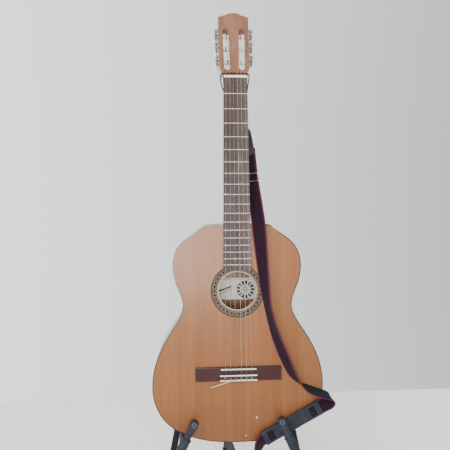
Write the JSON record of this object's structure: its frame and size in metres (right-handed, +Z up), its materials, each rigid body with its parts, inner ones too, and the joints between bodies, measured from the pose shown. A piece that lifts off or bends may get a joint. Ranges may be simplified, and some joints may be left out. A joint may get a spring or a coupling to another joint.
{
  "type": "classical guitar on a folding stand",
  "caption": "Slot-head classical guitar with a shoulder strap, resting in the turning padded arms of a folding A-frame stand.",
  "frame": {"origin": "floor point under the middle of the guitar and its stand, without the strap", "axes": "+Z up, the soundboard faces -Y and leans back, +X to the viewer's right"},
  "size_m": [0.3998, 0.486, 1.1276],
  "materials": {
    "cedar": "satin lacquered red cedar, fine straight grain",
    "rosette": "inlaid mosaic of small wood tiles, satin lacquer",
    "mahogany": "satin lacquered reddish brown wood",
    "binding": "black binding strip",
    "inner_wood": "bare pale wood",
    "label": "aged paper",
    "neck_wood": "satin lacquered reddish brown wood",
    "head_veneer": "satin veneer",
    "rosewood": "oiled dark red brown rosewood",
    "fingerboard": "dry streaky grey brown rosewood",
    "fret_metal": "polished nickel silver wire",
    "bone": "off-white moulded bone substitute",
    "bass_string": "silvered winding",
    "nylon": "clear pale nylon",
    "tuner_metal": "dull nickel plate",
    "roller": "white plastic spool on a steel core",
    "pearl": "white pearl plastic",
    "black_plastic": "moulded black plastic",
    "webbing": "plum woven webbing with crimson edges",
    "leather": "black leather",
    "slide_wire": "bright wire",
    "pad_rubber": "ribbed blue grey moulded rubber",
    "lace": "braided black lace",
    "bolt_steel": "zinc plated",
    "tube_paint": "satin black powder coat",
    "foot_rubber": "black rubber",
    "foam": "black foam",
    "arm_steel": "black painted steel rod",
    "arm_rubber": "soft blue black rubber"
  },
  "bodies": {
    "stand_frame": {"hub": "black_plastic", "hub_bolt": "bolt_steel", "front_leg_left": "tube_paint", "front_leg_right": "tube_paint", "front_feet": "foot_rubber", "back_pad": "foam", "arm_bracket_left": "black_plastic", "arm_bracket_right": "black_plastic"},
    "guitar": {"soundboard": "cedar", "rosette": "rosette", "back_plate": "mahogany", "rib_left": "mahogany", "rib_right": "mahogany", "top_binding": "binding", "back_binding": "binding", "linings": "inner_wood", "tail_block": "inner_wood", "head_block": "inner_wood", "soundboard_braces": "inner_wood", "back_braces": "inner_wood", "label": "label", "neck": "neck_wood", "head_veneer": "head_veneer", "heel_cap": "rosewood", "fingerboard": "fingerboard", "frets": "fret_metal", "nut": "bone", "bridge": "rosewood", "saddle": "bone", "tie_block_trims": "bone", "bass_strings": "bass_string", "treble_strings": "nylon", "string_tails": "nylon", "tuner_plate_left": "tuner_metal", "tuner_plate_right": "tuner_metal", "plate_screws": "tuner_metal", "end_pin": "black_plastic", "strap": "webbing", "strap_leathers": "leather", "strap_slide": "slide_wire", "shoulder_pad": "pad_rubber", "strap_lace": "lace"},
    "rear_leg": {"rear_leg": "tube_paint", "rear_foot": "foot_rubber"},
    "left_arm": {"arm_left": "arm_steel", "arm_rubber_left": "arm_rubber"},
    "right_arm": {"arm_right": "arm_steel", "arm_rubber_right": "arm_rubber"},
    "roller_1": {"roller_1": "roller"},
    "peg_1": {"peg_1": "pearl"},
    "roller_2": {"roller_2": "roller"},
    "peg_2": {"peg_2": "pearl"},
    "roller_3": {"roller_3": "roller"},
    "peg_3": {"peg_3": "pearl"},
    "roller_4": {"roller_4": "roller"},
    "peg_4": {"peg_4": "pearl"},
    "roller_5": {"roller_5": "roller"},
    "peg_5": {"peg_5": "pearl"},
    "roller_6": {"roller_6": "roller"},
    "peg_6": {"peg_6": "pearl"}
  },
  "joints": [
    {"name": "guitar_lift", "type": "slide", "parent": "stand_frame", "child": "guitar", "axis": [0, 0.2079, 0.9781], "range_m": [0, 0.25]},
    {"name": "rear_leg_fold", "type": "hinge", "parent": "stand_frame", "child": "rear_leg", "pos_m": [0, 0.01419, 0.53507], "axis": [1, 0, 0], "range_deg": [-33, 0]},
    {"name": "right_arm_turn", "type": "hinge", "parent": "stand_frame", "child": "right_arm", "pos_m": [0.1121, -0.19988, 0.18207], "axis": [0, -0.9781, 0.2079], "range_deg": [-110, 35]},
    {"name": "left_arm_turn", "type": "hinge", "parent": "stand_frame", "child": "left_arm", "pos_m": [-0.1215, -0.19909, 0.18578], "axis": [0, -0.9781, 0.2079], "range_deg": [-35, 110]},
    {"name": "roller_1_turn", "type": "hinge", "parent": "guitar", "child": "roller_1", "pos_m": [-0.03311, -0.00565, 1.00772], "axis": [-0.9998, -0.0101, -0.0198], "continuous": true},
    {"name": "peg_1_turn", "type": "hinge", "parent": "guitar", "child": "peg_1", "pos_m": [-0.03934, -0.00108, 1.01669], "axis": [0, -0.891, 0.454], "continuous": true},
    {"name": "roller_2_turn", "type": "hinge", "parent": "guitar", "child": "roller_2", "pos_m": [-0.03389, 0.01023, 1.0389], "axis": [-0.9998, -0.0101, -0.0198], "continuous": true},
    {"name": "peg_2_turn", "type": "hinge", "parent": "guitar", "child": "peg_2", "pos_m": [-0.04012, 0.0148, 1.04787], "axis": [0, -0.891, 0.454], "continuous": true},
    {"name": "roller_3_turn", "type": "hinge", "parent": "guitar", "child": "roller_3", "pos_m": [-0.03466, 0.02594, 1.06972], "axis": [-0.9998, -0.0101, -0.0198], "continuous": true},
    {"name": "peg_3_turn", "type": "hinge", "parent": "guitar", "child": "peg_3", "pos_m": [-0.04088, 0.03051, 1.07869], "axis": [0, -0.891, 0.454], "continuous": true},
    {"name": "roller_4_turn", "type": "hinge", "parent": "guitar", "child": "roller_4", "pos_m": [0.03311, -0.00565, 1.00772], "axis": [0.9998, -0.0101, -0.0198], "continuous": true},
    {"name": "peg_4_turn", "type": "hinge", "parent": "guitar", "child": "peg_4", "pos_m": [0.03934, -0.00108, 1.01669], "axis": [0, -0.891, 0.454], "continuous": true},
    {"name": "roller_5_turn", "type": "hinge", "parent": "guitar", "child": "roller_5", "pos_m": [0.03389, 0.01023, 1.0389], "axis": [0.9998, -0.0101, -0.0198], "continuous": true},
    {"name": "peg_5_turn", "type": "hinge", "parent": "guitar", "child": "peg_5", "pos_m": [0.04012, 0.0148, 1.04787], "axis": [0, -0.891, 0.454], "continuous": true},
    {"name": "roller_6_turn", "type": "hinge", "parent": "guitar", "child": "roller_6", "pos_m": [0.03466, 0.02594, 1.06972], "axis": [0.9998, -0.0101, -0.0198], "continuous": true},
    {"name": "peg_6_turn", "type": "hinge", "parent": "guitar", "child": "peg_6", "pos_m": [0.04088, 0.03051, 1.07869], "axis": [0, -0.891, 0.454], "continuous": true}
  ],
  "couplings": [
    {"joint": "roller_1_turn", "follows": "peg_1_turn", "ratio": -0.071429},
    {"joint": "roller_2_turn", "follows": "peg_2_turn", "ratio": -0.071429},
    {"joint": "roller_3_turn", "follows": "peg_3_turn", "ratio": -0.071429},
    {"joint": "roller_4_turn", "follows": "peg_4_turn", "ratio": 0.071429},
    {"joint": "roller_5_turn", "follows": "peg_5_turn", "ratio": 0.071429},
    {"joint": "roller_6_turn", "follows": "peg_6_turn", "ratio": 0.071429}
  ]
}
